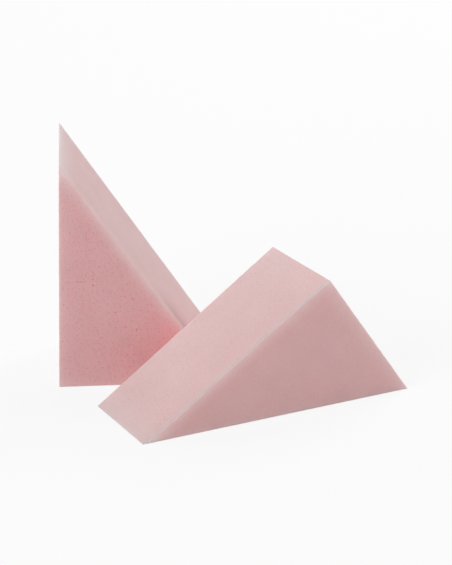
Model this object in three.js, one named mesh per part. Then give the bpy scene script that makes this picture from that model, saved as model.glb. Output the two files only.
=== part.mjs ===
// A pair of make-up wedges. Each wedge is one right-angled triangular block, cut from a slab of open-cell foam.
// One wedge stands on its short side. The other lies in front of it on its sloping side, turned a little, with
// its back face close to the toe of the standing one.
// Millimetres, +Z up. The origin is on the floor, under the middle of the pair.

import * as THREE from "three";

// One wedge: the two sides that meet at the right angle, measured to the sharp corners, and the slab.
const shortSide = 38;
const longSide = 56;
const slabThickness = 25;

// Foam takes no knife edge. The rims round the two triangular faces are soft by rimRadius, and the three edges
// between the cut sides are softer than the rims by cornerEase.
const rimRadius = 0.15;
const cornerEase = 0.05;
const rimSteps = 3;
const cornerSteps = 4;

// The pair on the floor. The lying wedge is turned about the vertical. The toe of the standing wedge comes
// closest to its back face at toeReach along the floor from its thin end.
const lyingTurn = THREE.MathUtils.degToRad(26.35);
const toeReach = 32.65;
const wedgeClearance = 0.2;

const foamColour = 0xdcb1b0;
const foamRoughness = 0.95;

// The triangle with its right angle at the origin, the short side along +X and the long side along +Y.
function wedgeOutline() {
  const corners = [
    new THREE.Vector2(0, 0),
    new THREE.Vector2(shortSide, 0),
    new THREE.Vector2(0, longSide),
  ];
  const cornerRadius = rimRadius + cornerEase;
  const outline = new THREE.Shape();
  corners.forEach((corner, index) => {
    const before = corners[(index + corners.length - 1) % corners.length];
    const after = corners[(index + 1) % corners.length];
    const toBefore = before.clone().sub(corner).normalize();
    const toAfter = after.clone().sub(corner).normalize();
    const halfAngle = Math.acos(toBefore.dot(toAfter)) / 2;
    const inward = toBefore.clone().add(toAfter).normalize();
    const centre = corner.clone().addScaledVector(inward, cornerRadius / Math.sin(halfAngle));
    const outward = Math.atan2(-inward.y, -inward.x);
    const sweep = Math.PI / 2 - halfAngle;
    outline.absarc(centre.x, centre.y, cornerRadius, outward - sweep, outward + sweep, false);
  });
  outline.closePath();
  return outline;
}

// One wedge as it stands: short side along +X on the floor, slab thickness along +Y, long side up +Z.
function wedgeGeometry() {
  const geometry = new THREE.ExtrudeGeometry(wedgeOutline(), {
    depth: slabThickness - 2 * rimRadius,
    steps: 1,
    curveSegments: cornerSteps / 2,
    bevelEnabled: true,
    bevelThickness: rimRadius,
    bevelSize: rimRadius,
    bevelOffset: -rimRadius,
    bevelSegments: rimSteps,
  });
  geometry.translate(0, 0, rimRadius - slabThickness);
  geometry.rotateX(Math.PI / 2);
  return geometry;
}

function foamWedge(name) {
  const foam = new THREE.MeshStandardMaterial({
    color: foamColour,
    roughness: foamRoughness,
    metalness: 0,
  });
  const wedge = new THREE.Mesh(wedgeGeometry(), foam);
  wedge.name = name;
  return wedge;
}

// The standing wedge has the front lower corner of its upright side at the group's own origin.
const standingWedge = foamWedge("standing_wedge");

// The lying wedge is turned back to front and tipped over until its sloping side is on the floor. In its own
// group the thin end is at x = 0, the slab runs from y = 0 to the back, and the right angle is on top.
const slopingSide = Math.hypot(shortSide, longSide);
const lyingWedge = foamWedge("lying_wedge");
lyingWedge.rotation.set(0, Math.atan2(longSide, shortSide) - Math.PI, Math.PI);
lyingWedge.position.set(
  longSide ** 2 / slopingSide,
  slabThickness,
  (shortSide * longSide) / slopingSide,
);

const alongFloor = new THREE.Vector2(Math.cos(lyingTurn), Math.sin(lyingTurn));
const towardsBack = new THREE.Vector2(-alongFloor.y, alongFloor.x);
const standingToe = new THREE.Vector2(shortSide, 0);
const thinEnd = standingToe
  .clone()
  .addScaledVector(alongFloor, -toeReach)
  .addScaledVector(towardsBack, -slabThickness - wedgeClearance);

const lyingSpot = new THREE.Group();
lyingSpot.add(lyingWedge);
lyingSpot.position.set(thinEnd.x, thinEnd.y, 0);
lyingSpot.rotation.z = lyingTurn;

// Both wedges rest on the floor, and the pair is centred over the origin.
const wedgePair = new THREE.Group();
wedgePair.add(standingWedge, lyingSpot);
const reach = new THREE.Box3().setFromObject(wedgePair, true);
const middle = reach.getCenter(new THREE.Vector3());
wedgePair.position.set(-middle.x, -middle.y, 0);

export default wedgePair;
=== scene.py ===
import math
import random

import bmesh
import bpy
from mathutils import Matrix, Vector, noise


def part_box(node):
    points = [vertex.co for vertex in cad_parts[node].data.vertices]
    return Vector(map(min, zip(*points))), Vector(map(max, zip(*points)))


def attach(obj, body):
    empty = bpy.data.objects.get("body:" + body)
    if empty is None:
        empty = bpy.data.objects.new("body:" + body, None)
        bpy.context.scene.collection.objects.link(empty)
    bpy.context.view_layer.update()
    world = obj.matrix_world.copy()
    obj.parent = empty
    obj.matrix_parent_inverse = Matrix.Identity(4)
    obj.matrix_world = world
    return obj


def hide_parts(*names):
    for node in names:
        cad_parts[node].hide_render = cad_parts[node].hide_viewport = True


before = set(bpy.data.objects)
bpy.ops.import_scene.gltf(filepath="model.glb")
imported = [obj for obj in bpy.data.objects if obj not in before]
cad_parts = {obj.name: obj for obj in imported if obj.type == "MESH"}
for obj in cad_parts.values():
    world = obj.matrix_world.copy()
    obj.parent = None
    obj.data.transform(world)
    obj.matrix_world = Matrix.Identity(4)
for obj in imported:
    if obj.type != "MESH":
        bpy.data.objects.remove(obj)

# Two make-up wedges cut from pink open-cell foam: one stands on its short side, the other lies on its
# slope. Shapes are worked out in millimetres and put into the scene in metres.

mm = 0.001
squareCentimetre = 100.0  # in square millimetres
right, back, up = Vector((1, 0, 0)), Vector((0, 1, 0)), Vector((0, 0, 1))
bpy.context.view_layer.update()  # the CAD box, before anything is added


def linear(hexCode):
    # sRGB hex to linear RGBA
    parts = [int(hexCode[i:i + 2], 16) / 255 for i in (1, 3, 5)]
    return [c / 12.92 if c <= 0.04045 else ((c + 0.055) / 1.055) ** 2.4 for c in parts] + [1.0]


def addNode(tree, kind, settings=None, inputs=None):
    # a node with its settings, and its inputs either linked or set
    node = tree.nodes.new(kind)
    for name, value in (settings or {}).items():
        setattr(node, name, value)
    for name, value in (inputs or {}).items():
        if isinstance(value, bpy.types.NodeSocket):
            tree.links.new(value, node.inputs[name])
        else:
            node.inputs[name].default_value = value
    return node


def fade(distance, reach):
    # from 1 at no distance to 0 at the reach, steeper at the start
    return max(0.0, 1 - distance / reach) ** 2


# The wedge, in millimetres, measured to its sharp corners as it stands: short side along X, slab along Y,
# long side up Z, right angle at the origin.
wedge = {
    "shortSide": 38.0,
    "longSide": 56.0,
    "slabThickness": 25.0,
    "edgeSoftness": 0.06,   # set-back of the soft edges
    "edgeSteps": 2,
    "sideSlices": 36,       # equal cuts of the two sides at the right angle, so that they meet on the slope
    "slabSlices": 19,
    "cutSnap": 0.01,        # cuts that meet on the slope share their vertices within this
    "guard": 0.15,          # a last cut this close to every edge keeps the sides flat right up to it
    "gridWander": 0.15,     # sideways wander of the grid, so that the pores don't line up
    "waveSize": 3.0,        # the blade leaves long shallow waves
    "waveHeight": 0.03,
    "waveStart": 50.0,      # each wedge has its own start in the pattern, at most this many waves off
    "grainHeight": 0.008,   # torn cell walls stand this far in and out
}
slopingSide = math.hypot(wedge["shortSide"], wedge["longSide"])
upSlope = Vector((-wedge["shortSide"], 0, wedge["longSide"])) / slopingSide
offSlope = Vector((wedge["longSide"], 0, wedge["shortSide"])) / slopingSide
triangleArea = wedge["shortSide"] * wedge["longSide"] / 2

# The five sides. The two triangles are the skins of the slab, one of them with open cells; the rest are
# cut. along is two directions along a side, area is in square mm, pores is per square centimetre, largest is
# their radius in mm, poreShow is how red they are, and cells is how much of the small cells shows.
sides = {
    "openFace": {
        "normal": -back, "along": (right, up), "area": triangleArea,
        "pores": 32, "largest": 0.33, "poreShow": 1.0, "cells": 0.42,
    },
    "fineFace": {
        "normal": back, "along": (right, up), "area": triangleArea,
        "pores": 6, "largest": 0.16, "poreShow": 0.45, "cells": 0.12,
    },
    "base": {
        "normal": -up, "along": (right, back), "area": wedge["shortSide"] * wedge["slabThickness"],
        "pores": 36, "largest": 0.22, "poreShow": 0.5, "cells": 0.22,
    },
    "upright": {
        "normal": -right, "along": (back, up), "area": wedge["longSide"] * wedge["slabThickness"],
        "pores": 36, "largest": 0.22, "poreShow": 0.5, "cells": 0.22,
    },
    "slope": {
        "normal": offSlope, "along": (upSlope, back), "area": slopingSide * wedge["slabThickness"],
        "pores": 1, "largest": 0.16, "poreShow": 0.5, "cells": 0.05,
    },
}
skins = ("openFace", "fineFace")
vertexLooks = ("openSkin", "fineSkin", "pale", "paintedLight", "paintedRedLight", "cells", "pore")  # read by the material

# Painted light and shade: light leaves the foam again near its edges, so a side is painted fading to a pale
# pink along its neighbours, and light that soaks from a bright side to a dark one is painted as well. Each
# band has the neighbour, the width in mm, how pale it gets and how much brighter (darker below zero). The
# bands about 1 mm wide paint light and shade onto the soft edges themselves.
cutBands = [
    ("openFace", 40.0, 0.24, -0.02),
    ("fineFace", 3.2, 0.42, -0.12),
    ("fineFace", 1.0, 0.0, -0.065),
    ("slope", 6.0, 0.28, 0.0),
    ("slope", 45.0, 0.03, -0.04),
]
edgeBands = {
    "openFace": [
        ("slope", 3.5, 0.63, 0.06),
        ("slope", 1.0, 0.0, -0.035),
        ("upright", 4.5, 0.22, 0.035),
        ("upright", 1.0, 0.28, 0.0),
        ("base", 8.0, 0.8, 0.0),
    ],
    "fineFace": [
        ("slope", 3.4, 0.85, 0.0),
        ("upright", 3.5, 0.45, 0.085),
        ("upright", 0.8, 0.16, -0.15),
        ("base", 4.4, 0.4, 0.04),
    ],
    "base": cutBands + [("upright", 20.0, 0.12, 0.05)],
    "upright": cutBands + [("base", 20.0, 0.12, 0.05)],
    "slope": [
        ("openFace", 1.0, 0.12, -0.015),
        ("fineFace", 1.2, 0.3, 0.0),
        ("base", 3.0, 0.12, 0.0),
        ("upright", 4.6, 0.57, 0.02),
        ("upright", 12.0, 0.02, 0.03),
    ],
}
restingShare = 0.25  # what is left of a skin's band along the floor, where little light comes in

# Painted light, the same way, for the corner of a skin at the thin edge: width in mm, how pale and how much
# brighter.
thinTip = {
    "openFace": (5.0, 0.3, 0.0),
    "fineFace": (4.4, 0.56, 0.07),
}

# Light that has soaked through from a bright side comes out redder, painted: the neighbour, the width in mm,
# how red.
soaked = {
    "fineFace": [("upright", 12.0, 0.17), ("base", 9.0, 0.14)],
    "upright": [("openFace", 6.0, 0.12)],
}

# Where the wedges are close, light goes to and fro between them, and this is painted into the colour: the
# open skin is painted redder, and a cut side gets painted shade, darker and redder.
paintedRedLight = {
    "reach": 17.0,     # mm
    "shade": 2.1,      # how much painted shade darkens a cut side
    "shadeRed": 2.2,   # and how much redder
    "ridge": 3.0,      # mm over which the painted shade sets in from the edge of the open skin, which stays pale
}

# The ridge between the upright side and the fine face is worn down near the thin end.
ridgeWear = {
    "start": 0.1,     # share of the long side, from the thin end, where it is worn the most
    "end": 0.65,      # share where the wear ends
    "width": 12.0,    # mm of the upright side that sink with the ridge
}

# Pores that show as pits, in millimetres.
pores = {
    "radii": [0.11, 0.16, 0.22, 0.33],
    "shares": [0.69, 0.25, 0.06, 0.0],       # of the pores, by radius; the largest are only set as marks
    "redShares": [0.53, 0.58, 0.68, 0.62],   # how red each size is
    "roomPerRadius": 1.25,                   # least distance to the next vertex of the grid
    "depthPerRadius": 0.25,
    "lipShare": 0.3,                         # of the radius
    "clearOfEdges": 1.0,
    "rowShare": 0.04,                        # of the pores start a short row, as the blade drags
    "rowPores": 4,
}


def sideDepths(point):
    # depth of a point below each of the five sides
    short, long = wedge["shortSide"], wedge["longSide"]
    return {
        "openFace": point.y,
        "fineFace": wedge["slabThickness"] - point.y,
        "base": point.z,
        "upright": point.x,
        "slope": (short * long - long * point.x - short * point.z) / slopingSide,
    }


def edgeLook(side, depths, resting):
    # painted light and shade: how pale and how much brighter a point of a side is, by its depth below the
    # neighbours
    deepShare, paintedLight = 1.0, 0.0
    for neighbour, width, pale, light in edgeBands[side]:
        near = fade(depths[neighbour], width)
        if neighbour == resting and side in skins:
            near *= restingShare
        deepShare *= 1 - pale * near
        paintedLight += light * near
    if side in thinTip:
        width, pale, light = thinTip[side]
        near = fade(max(depths["slope"], depths["upright"]), width)
        deepShare *= 1 - pale * near
        paintedLight += light * near
    return 1 - deepShare, paintedLight


def soakedShare(side, depths):
    # painted red light: how red a point of a side is, by its depth below the bright neighbours
    return sum(red * fade(depths[neighbour], width) for neighbour, width, red in soaked.get(side, []))


def sliceBlock(bm, cuts):
    # cuts right through the block, each at a point and square to a direction
    for point, direction in cuts:
        bmesh.ops.bisect_plane(bm, geom=bm.verts[:] + bm.edges[:] + bm.faces[:], dist=wedge["cutSnap"],
                               plane_co=point, plane_no=direction)


def cutBlock():
    # triangle, pulled through the slab, edges softened, then sliced into a grid
    short, long, slab = wedge["shortSide"], wedge["longSide"], wedge["slabThickness"]
    bm = bmesh.new()
    triangle = bm.faces.new([bm.verts.new(corner) for corner in (Vector(), right * short, up * long)])
    pulled = bmesh.ops.extrude_face_region(bm, geom=[triangle])["geom"]
    farCorners = [part for part in pulled if isinstance(part, bmesh.types.BMVert)]
    bmesh.ops.translate(bm, verts=farCorners, vec=back * slab)
    bmesh.ops.recalc_face_normals(bm, faces=bm.faces[:])
    bmesh.ops.bevel(bm, geom=bm.edges[:], offset=wedge["edgeSoftness"], offset_type="OFFSET",
                    segments=wedge["edgeSteps"], profile=0.5, affect="EDGES", material=-1)
    sideSlices, slabSlices, guard = wedge["sideSlices"], wedge["slabSlices"], wedge["guard"]
    sliceBlock(bm, [(right * (short * i / sideSlices), right) for i in range(1, sideSlices)])
    sliceBlock(bm, [(up * (long * i / sideSlices), up) for i in range(1, sideSlices)])
    sliceBlock(bm, [(back * (slab * i / slabSlices), back) for i in range(1, slabSlices)])
    bmesh.ops.subdivide_edges(bm, edges=bm.edges[:], cuts=1, use_grid_fill=True)
    sliceBlock(bm, [(right * guard, right), (up * guard, up), (back * guard, back),
                    (back * (slab - guard), back), (right * short - offSlope * guard, offSlope)])
    for name in vertexLooks:
        bm.verts.layers.float.new(name)
    return bm


def sortBySide(bm, resting):
    # every vertex gets its side's look; what comes back is the inner vertices of each flat side
    layers = bm.verts.layers.float
    inner = {side: [] for side in sides}
    for vert in bm.verts:
        depths = {side: max(0.0, depth) for side, depth in sideDepths(vert.co).items()}
        top = min(depths.values())
        at = [side for side, depth in depths.items() if depth < top + wedge["cutSnap"]]  # two on a soft edge
        looks = [edgeLook(side, depths, resting) for side in at]
        pale = sum(look[0] for look in looks) / len(at)
        vert[layers["pale"]] = pale
        vert[layers["paintedLight"]] = sum(look[1] for look in looks) / len(at)
        vert[layers["paintedRedLight"]] = sum(soakedShare(side, depths) for side in at) / len(at) * (1 - pale)
        vert[layers["openSkin"]] = at.count("openFace") / len(at)
        vert[layers["fineSkin"]] = at.count("fineFace") / len(at)
        vert[layers["cells"]] = sum(sides[side]["cells"] for side in at) / len(at) * (1 - pale)
        behind = [depth for side, depth in depths.items() if side not in at]
        if top < wedge["cutSnap"] and len(at) == 1 and min(behind) > pores["clearOfEdges"]:
            inner[at[0]].append(vert)
    return inner


def holdMarks(inner, marks):
    # the vertices of the open face nearest to its marks, by size, moved there; those around don't wander
    bySize = {radius: [] for radius in pores["radii"]}
    held, around = set(), set()
    for radius, along, high in marks:
        free = [vert for vert in inner["openFace"] if vert not in held]
        nearest = min(free, key=lambda vert: math.hypot(vert.co.x - along, vert.co.z - high))
        nearest.co.x, nearest.co.z = along, high
        bySize[radius].append(nearest)
        held.add(nearest)
        around |= {other for face in nearest.link_faces for other in face.verts}
    inner["openFace"] = [vert for vert in inner["openFace"] if vert not in around]
    return bySize


def wanderGrid(inner, draw):
    # in-plane wander of the inner grid
    for side, verts in inner.items():
        for vert in verts:
            for direction in sides[side]["along"]:
                vert.co += direction * (draw.uniform(-1, 1) * wedge["gridWander"])


def poreRow(start, heading):
    # every second vertex along the grid, so that no two pores are side by side
    row = [start]
    for _ in range(2 * (pores["rowPores"] - 1)):
        nextVerts = [edge.other_vert(row[-1]) for edge in row[-1].link_edges]
        row.append(max(nextVerts, key=lambda vert: (vert.co - row[-1].co).normalized().dot(heading)))
    return row[::2]


def pickPores(inner, bySize, draw):
    # more vertices that become pores, never two side by side
    taken = {vert for verts in bySize.values() for vert in verts}
    for side, verts in inner.items():
        wanted = round(sides[side]["pores"] * sides[side]["area"] / squareCentimetre)
        free = set(verts)
        for vert in draw.sample(verts, len(verts)):
            if wanted <= 0:
                break
            heading = draw.choice((right, back, up))
            row = poreRow(vert, heading) if draw.random() < pores["rowShare"] else [vert]
            for pore in row:
                radius = min(draw.choices(pores["radii"], pores["shares"])[0], sides[side]["largest"])
                room = min(edge.calc_length() for edge in pore.link_edges)
                around = {other for face in pore.link_faces for other in face.verts}
                if pore in free and not taken & around and room > radius * pores["roomPerRadius"]:
                    taken.add(pore)
                    bySize[radius].append(pore)
                    wanted -= 1
    return bySize


def openPores(bm, bySize):
    # each pore: the vertex is opened to a small patch, which is set in below a lip
    poreLayer = bm.verts.layers.float["pore"]
    for (radius, verts), redShare in zip(bySize.items(), pores["redShares"]):
        patch = bmesh.ops.bevel(bm, geom=verts, offset=radius, offset_type="OFFSET", segments=1, profile=0.5,
                                affect="VERTICES", material=-1)["faces"]
        bmesh.ops.inset_individual(bm, faces=patch, thickness=radius * pores["lipShare"],
                                   depth=-radius * pores["depthPerRadius"])
        # the pit is marked for the pore colour, which is painted shade and red light
        for vert in {vert for face in patch for vert in face.verts}:
            depths = sideDepths(vert.co)
            vert[poreLayer] = sides[min(depths, key=depths.get)]["poreShow"] * redShare


def roughen(bm, draw, resting):
    # long waves from the blade and the grain of the torn cells, everywhere but under the wedge
    bm.normal_update()
    start = Vector([draw.uniform(-wedge["waveStart"], wedge["waveStart"]) for _ in range(3)])
    moves = []
    for vert in bm.verts:
        wave = noise.noise(vert.co / wedge["waveSize"] + start) * wedge["waveHeight"]
        grain = draw.uniform(-1, 1) * wedge["grainHeight"]
        lift = min(1.0, sideDepths(vert.co)[resting] / wedge["edgeSoftness"])
        moves.append((vert, vert.normal * (wave + grain) * max(0.0, lift)))
    for vert, move in moves:
        vert.co += move


def wearRidge(bm, sag):
    # near the thin end the upright side sinks towards the ridge over the fine face
    for vert in bm.verts:
        fromTip = 1 - vert.co.z / wedge["longSide"]
        along = min(1.0, fromTip / ridgeWear["start"]) * max(0.0, 1 - fromTip / ridgeWear["end"])
        across = fade(wedge["slabThickness"] - vert.co.y, ridgeWear["width"])
        thickness = max(wedge["edgeSoftness"], fromTip * wedge["shortSide"])
        vert.co.x += sag * max(0.0, along) * across * max(0.0, 1 - vert.co.x / thickness)


def cornerMove(point, cornerShift):
    # how far a point goes with the corners of its wedge
    toe, apex = point.x / wedge["shortSide"], point.z / wedge["longSide"]
    shares = {"foot": 1 - toe - apex, "toe": toe, "apex": apex}
    deep = point.y / wedge["slabThickness"]
    move = Vector()
    for face, faceShare in (("openFace", 1 - deep), ("fineFace", deep)):
        for corner, shift in cornerShift[face].items():
            move += Vector(shift) * shares[corner] * faceShare
    return move


def bouncedLightShare(point, normal, otherPlace):
    # how much light comes from the other wedge at a point that faces it
    towards = Vector()
    for side, depth in sideDepths(otherPlace.inverted() @ point / mm).items():
        towards += sides[side]["normal"] * min(0.0, depth)
    facing = normal.dot(otherPlace.to_3x3() @ towards.normalized())
    return max(0.0, facing) * fade(towards.length, paintedRedLight["reach"])


def paintBouncedLight(bm, otherPlace, offEdge):
    # painted light and shade between the wedges, on the finished shape
    layers = bm.verts.layers.float
    for vert, cutShare in zip(bm.verts, offEdge):
        share, openSkin = bouncedLightShare(vert.co, vert.normal, otherPlace), vert[layers["openSkin"]]
        shaded = share * (1 - openSkin) * cutShare
        vert[layers["paintedRedLight"]] += share * openSkin * (1 - vert[layers["pale"]]) + shaded * paintedRedLight["shadeRed"]
        vert[layers["paintedLight"]] -= shaded * paintedRedLight["shade"]


def makeWedge(piece, place, otherPlace, foam):
    name, draw = piece["name"], random.Random(piece["seed"])
    bm = cutBlock()
    inner = sortBySide(bm, piece["resting"])
    marks = holdMarks(inner, piece["marks"])
    wanderGrid(inner, draw)
    openPores(bm, pickPores(inner, marks, draw))
    roughen(bm, draw, piece["resting"])
    wearRidge(bm, piece["ridgeSag"])
    offEdge = [min(1.0, max(0.0, vert.co.y) / paintedRedLight["ridge"]) for vert in bm.verts]
    moves = [cornerMove(vert.co, piece["cornerShift"]) * mm for vert in bm.verts]
    bmesh.ops.transform(bm, matrix=place @ Matrix.Scale(mm, 4), verts=bm.verts[:])
    for vert, move in zip(bm.verts, moves):
        vert.co += move
    bm.normal_update()
    paintBouncedLight(bm, otherPlace, offEdge)
    mesh = bpy.data.meshes.new(name)
    bm.to_mesh(mesh)
    bm.free()
    mesh.materials.append(foam)
    for polygon in mesh.polygons:
        polygon.use_smooth = True
    block = bpy.data.objects.new(name, mesh)
    bpy.context.scene.collection.objects.link(block)
    rounding = block.modifiers.new("softFoam", "SUBSURF")
    rounding.levels = rounding.render_levels = 1
    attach(block, "root")
    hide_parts(piece["node"])
    print(name, "cut:", len(mesh.polygons), "faces before rounding")


# Open-cell polyurethane foam, cut with a blade: dead matte, and light soaks in, so that the skins of the
# slab look a stronger pink than the cut sides. Painted light fades the edges to a pale grey pink, and every
# open pore is a pit with a redder speck of painted shade and trapped red light.
cutFoam = {
    "pink": "#d8b5b5",
    "openPink": "#d2a8a9",            # the skin of the slab with open cells
    # the finer skin: its own tone, and partly painted light, brighter to make up for the lamps reaching it
    # less
    "finePink": "#e7bfbf",            # the finer skin on the other side
    # the pits of the open pores: painted shade and red light trapped in them
    "poreShadePink": "#d82f35",
    "cellPink": "#d27c7e",            # small open cells
    "paleGain": (1.07, 1.5, 1.47),    # light that goes a short way keeps more of its green and blue
    "paintedRedLightGain": (1.32, 0.95, 0.97),  # light from foam to foam keeps more of its red
    "cellSize": 0.5,                  # mm; real cells are about 0.25 mm, drawn coarser so that they show
    "cellFade": (0.16, 0.4),          # in cell sizes from the middle: start and end of a cell's fade
    "noiseRange": (0.3, 0.7),         # where most of the noise lies
    "mottle": {"size": 7.0, "detail": 3.0, "shade": (0.98, 1.02)},     # size in mm
    "grain": {"size": 0.3, "detail": 2.0, "shade": (0.993, 1.007)},
    "roughness": (0.87, 1.0),         # in the middle of a cell and on its wall
    "bumpStrength": 0.18,
    "bumpHeight": 0.1,                # mm
    "ior": 1.4,
    "specular": 0.2,
    "scatter": 0.5,                   # mm, the same for red, green and blue
}


def makeCutFoam():
    foam = bpy.data.materials.new("cutOpenCellFoam")
    foam.use_nodes = True
    tree = foam.node_tree
    tree.nodes.clear()
    place = addNode(tree, "ShaderNodeTexCoord").outputs["Object"]
    looks = {name: addNode(tree, "ShaderNodeAttribute", {"attribute_name": name}).outputs["Fac"]
             for name in vertexLooks}

    # the two skins, with painted pale light along the edges and painted red light where light goes from foam
    # to foam
    colour = linear(cutFoam["pink"])
    for skin, pink in (("openSkin", "openPink"), ("fineSkin", "finePink")):
        colour = addNode(tree, "ShaderNodeMix", {"data_type": "RGBA"},
                         {0: looks[skin], 6: colour, 7: linear(cutFoam[pink])}).outputs[2]
    for look, gains in (("pale", "paleGain"), ("paintedRedLight", "paintedRedLightGain")):
        gain = addNode(tree, "ShaderNodeMix", {"data_type": "VECTOR"},
                       {0: looks[look], 4: (1.0, 1.0, 1.0), 5: cutFoam[gains]}).outputs[1]
        colour = addNode(tree, "ShaderNodeVectorMath", {"operation": "MULTIPLY"},
                         {0: colour, 1: gain}).outputs["Vector"]

    # small open cells: balls in the foam that the cut goes through
    cells = addNode(tree, "ShaderNodeTexVoronoi", {"feature": "F1"},
                    {"Vector": place, "Scale": 1 / (cutFoam["cellSize"] * mm), "Randomness": 1.0})
    fromMiddle = cells.outputs["Distance"]
    fadesFrom, fadesTo = cutFoam["cellFade"]
    inCell = addNode(tree, "ShaderNodeMapRange", {"interpolation_type": "SMOOTHSTEP"},
                     {"Value": fromMiddle, "From Min": fadesFrom, "From Max": fadesTo,
                      "To Min": 1.0, "To Max": 0.0}).outputs["Result"]
    cellShare = addNode(tree, "ShaderNodeMath", {"operation": "MULTIPLY"},
                        {0: inCell, 1: looks["cells"]}).outputs[0]
    colour = addNode(tree, "ShaderNodeMix", {"data_type": "RGBA"},
                     {0: cellShare, 6: colour, 7: linear(cutFoam["cellPink"])}).outputs[2]

    # painted light and shade along the edges and between the wedges, with a broad mottle and a fine grain
    shade = addNode(tree, "ShaderNodeMath", {"operation": "ADD"}, {0: looks["paintedLight"], 1: 1.0}).outputs[0]
    noiseLow, noiseHigh = cutFoam["noiseRange"]
    for pattern in (cutFoam["mottle"], cutFoam["grain"]):
        darkest, lightest = pattern["shade"]
        patches = addNode(tree, "ShaderNodeTexNoise", None,
                          {"Vector": place, "Scale": 1 / (pattern["size"] * mm),
                           "Detail": pattern["detail"]}).outputs["Fac"]
        patchShade = addNode(tree, "ShaderNodeMapRange", None,
                             {"Value": patches, "From Min": noiseLow, "From Max": noiseHigh,
                              "To Min": darkest, "To Max": lightest}).outputs["Result"]
        shade = addNode(tree, "ShaderNodeMath", {"operation": "MULTIPLY"},
                        {0: shade, 1: patchShade}).outputs[0]
    colour = addNode(tree, "ShaderNodeVectorMath", {"operation": "SCALE"},
                     {"Vector": colour, "Scale": shade}).outputs["Vector"]
    # the pores, in their painted shade and red light
    colour = addNode(tree, "ShaderNodeMix", {"data_type": "RGBA"},
                     {0: looks["pore"], 6: colour, 7: linear(cutFoam["poreShadePink"])}).outputs[2]

    smoothest, roughest = cutFoam["roughness"]
    roughness = addNode(tree, "ShaderNodeMapRange", None,
                        {"Value": fromMiddle, "To Min": smoothest, "To Max": roughest}).outputs["Result"]
    bump = addNode(tree, "ShaderNodeBump", None,
                   {"Strength": cutFoam["bumpStrength"], "Distance": cutFoam["bumpHeight"] * mm,
                    "Height": fromMiddle}).outputs["Normal"]
    shader = addNode(tree, "ShaderNodeBsdfPrincipled", {"subsurface_method": "RANDOM_WALK"},
                     {"Base Color": colour, "Roughness": roughness, "Normal": bump, "IOR": cutFoam["ior"],
                      "Specular IOR Level": cutFoam["specular"], "Subsurface Weight": 1.0,
                      "Subsurface Radius": (1.0, 1.0, 1.0), "Subsurface Scale": cutFoam["scatter"] * mm})
    addNode(tree, "ShaderNodeOutputMaterial", None, {"Surface": shader.outputs["BSDF"]})
    print("foam material:", len(tree.nodes), "nodes")
    return foam


# The pair on the floor, as in the CAD: the lying wedge is turned, its back face close to the standing toe.
layout = {
    "lyingTurn": 26.35,       # degrees
    "toeReach": 32.65,        # mm from the thin end of the lying wedge, along the floor
    "wedgeClearance": 0.2,    # mm
}
standingFoot = Vector(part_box("standing_wedge")[0])


def standingPlace():
    return Matrix.Translation(standingFoot)


def lyingPlace():
    short, long, slab = wedge["shortSide"], wedge["longSide"], wedge["slabThickness"]
    turn = math.radians(layout["lyingTurn"])
    alongFloor = Vector((math.cos(turn), math.sin(turn), 0))
    towardsBack = Vector((-alongFloor.y, alongFloor.x, 0))
    thinEnd = (right * short - alongFloor * layout["toeReach"]
               - towardsBack * (slab + layout["wedgeClearance"]))
    rightAngle = Vector((long ** 2 / slopingSide, slab, short * long / slopingSide))
    tipped = Matrix.Rotation(math.atan2(long, short) - math.pi, 4, "Y") @ Matrix.Rotation(math.pi, 4, "Z")
    return (Matrix.Translation(standingFoot + thinEnd * mm) @ Matrix.Rotation(turn, 4, "Z")
            @ Matrix.Translation(rightAngle * mm) @ tipped)


# The two pieces. Foam is soft under the blade, so a corner is up to 2 mm off: cornerShift is in mm along the
# scene's axes. A corner that rests on the floor stays on it. The marks are on the open face: the radius of
# the pore, the mm along the short side and the mm up.
standing = {
    "name": "standingWedge",
    "node": "standing_wedge",
    "resting": "base",
    "seed": 11,
    "ridgeSag": 0.0,   # mm
    "cornerShift": {
        "openFace": {"foot": (-0.35, -1.9, 0.0), "toe": (-0.1, 0.4, 0.0), "apex": (0.2, -0.3, -1.5)},
        "fineFace": {"toe": (0.8, 0.0, 0.0), "apex": (0.2, 0.0, 0.3)},
    },
    "marks": [
        (0.33, 8.0, 25.6), (0.33, 17.1, 22.0), (0.33, 18.1, 14.0),                   # three larger bubbles
        (0.16, 7.9, 24.1), (0.22, 7.9, 27.1), (0.16, 7.9, 28.1), (0.22, 7.9, 29.0),  # a row of dots
        *[(0.22, 4.0 + 0.5 * i, 26.7) for i in range(5)],                            # a short nick
    ],
}
lying = {
    "name": "lyingWedge",
    "node": "lying_wedge",
    "resting": "slope",
    "seed": 29,
    "ridgeSag": 0.85,
    "cornerShift": {
        "openFace": {"foot": (-0.5, 0.0, 0.16), "toe": (0.2, -0.4, 0.0), "apex": (-0.25, 0.9, 0.0)},
        "fineFace": {"foot": (0.75, 0.0, 0.04), "toe": (0.5, 1.9, 0.0), "apex": (-1.1, 0.0, 0.0)},
    },
    "marks": [],
}
foam = makeCutFoam()
makeWedge(standing, standingPlace(), lyingPlace(), foam)
makeWedge(lying, lyingPlace(), standingPlace(), foam)

# Camera: a long lens a little above the pair, from a fit to the corners in the photo (452 x 565 pixels).
camera = {
    "fromFoot": (9.3, -998.3, 406.8),   # mm from the front foot of the standing wedge
    "lookDown": 20.92,                  # degrees
    "lookRight": 1.69,
    "focalPixels": 4597,
    "longSidePixels": 565,
    "sensor": 36.0,                     # mm along the long side of the picture
    "clip": (0.01, 20.0),               # m
}


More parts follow.
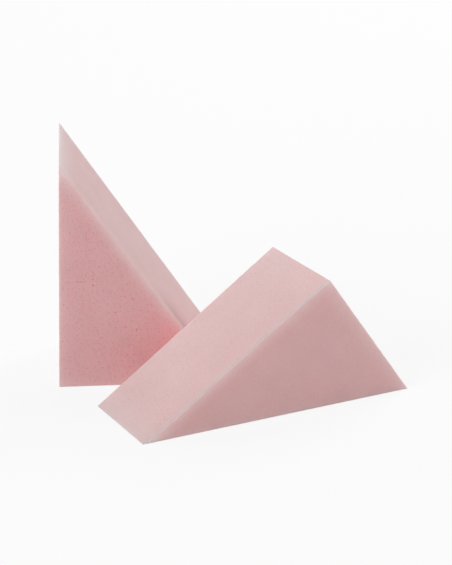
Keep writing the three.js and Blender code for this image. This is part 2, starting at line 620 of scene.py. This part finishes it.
def makeCamera():
    data = bpy.data.cameras.new("camera")
    data.sensor_width = camera["sensor"]
    data.lens = camera["sensor"] * camera["focalPixels"] / camera["longSidePixels"]
    data.clip_start, data.clip_end = camera["clip"]
    holder = bpy.data.objects.new("camera", data)
    holder.location = standingFoot + Vector(camera["fromFoot"]) * mm
    holder.rotation_euler = (math.radians(90 - camera["lookDown"]), 0, -math.radians(camera["lookRight"]))
    bpy.context.scene.collection.objects.link(holder)
    bpy.context.scene.camera = holder
    print("camera: lens", round(data.lens, 1), "mm")


# Studio: pale floor, soft even light from all round and three softboxes. Each softbox has its place in
# degrees round from the front, to the right, in degrees up, and in metres away.
studio = {
    "white": (1.0, 1.0, 1.0, 1.0),
    "floorSize": 6.0,           # m
    "floorColour": "#f4f4f4",
    "floorGlow": 0.85,          # how far the camera sees the floor as plain white
    "roundLight": 0.25,
    "softboxSize": 0.7,         # per metre of its distance
    "softboxes": [
        {"name": "frontSoftbox", "round": -45, "up": 20, "away": 1.0, "watts": 8.9},
        {"name": "sideSoftbox", "round": 135, "up": 20, "away": 1.0, "watts": 6.4},
        {"name": "backSoftbox", "round": 180, "up": 50, "away": 0.5, "watts": 0.55},
    ],
}


def seenShare(tree):
    # 1 for what the camera sees straight, in a gloss or through glass, 0 for light on its way
    ray = addNode(tree, "ShaderNodeLightPath").outputs
    seen = addNode(tree, "ShaderNodeMath", {"operation": "MAXIMUM"},
                   {0: ray["Is Camera Ray"], 1: ray["Is Glossy Ray"]}).outputs[0]
    return addNode(tree, "ShaderNodeMath", {"operation": "MAXIMUM"},
                   {0: seen, 1: ray["Is Transmission Ray"]}).outputs[0]


def makeFloor():
    mesh = bpy.data.meshes.new("floor")
    bm = bmesh.new()
    bmesh.ops.create_grid(bm, x_segments=1, y_segments=1, size=studio["floorSize"] / 2)
    bm.to_mesh(mesh)
    bm.free()
    floor = bpy.data.objects.new("floor", mesh)
    bpy.context.scene.collection.objects.link(floor)

    # matte paper that keeps a shadow, and looks nearly white
    paper = bpy.data.materials.new("paleStudioPaper")
    paper.use_nodes = True
    tree = paper.node_tree
    tree.nodes.clear()
    glow = addNode(tree, "ShaderNodeMath", {"operation": "MULTIPLY"},
                   {0: seenShare(tree), 1: studio["floorGlow"]}).outputs[0]
    matte = addNode(tree, "ShaderNodeBsdfDiffuse", None, {"Color": linear(studio["floorColour"])})
    plain = addNode(tree, "ShaderNodeEmission", None, {"Color": studio["white"], "Strength": 1.0})
    mixed = addNode(tree, "ShaderNodeMixShader", None, {0: glow, 1: matte.outputs[0], 2: plain.outputs[0]})
    addNode(tree, "ShaderNodeOutputMaterial", None, {"Surface": mixed.outputs[0]})
    mesh.materials.append(paper)
    print("floor:", studio["floorSize"], "m")


def makeLights():
    world = bpy.data.worlds.new("studio")
    world.use_nodes = True
    tree = world.node_tree
    tree.nodes.clear()
    around = addNode(tree, "ShaderNodeBackground", None,
                     {"Color": studio["white"], "Strength": studio["roundLight"]})
    plain = addNode(tree, "ShaderNodeBackground", None, {"Color": studio["white"], "Strength": 1.0})
    mixed = addNode(tree, "ShaderNodeMixShader", None,
                    {0: seenShare(tree), 1: around.outputs[0], 2: plain.outputs[0]})
    addNode(tree, "ShaderNodeOutputWorld", None, {"Surface": mixed.outputs[0]})
    bpy.context.scene.world = world

    for box in studio["softboxes"]:
        turned, raised = math.radians(box["round"]), math.radians(box["up"])
        away = Vector((math.sin(turned) * math.cos(raised), -math.cos(turned) * math.cos(raised),
                       math.sin(raised)))
        data = bpy.data.lights.new(box["name"], "AREA")
        data.shape = "SQUARE"
        data.size = studio["softboxSize"] * box["away"]
        data.energy = box["watts"]
        lamp = bpy.data.objects.new(box["name"], data)
        lamp.location = away * box["away"]
        lamp.rotation_euler = (-away).to_track_quat("-Z", "Y").to_euler()
        bpy.context.scene.collection.objects.link(lamp)
    print("lights:", len(studio["softboxes"]), "softboxes")


makeCamera()
makeFloor()
makeLights()
bpy.context.scene.view_settings.view_transform = "Standard"
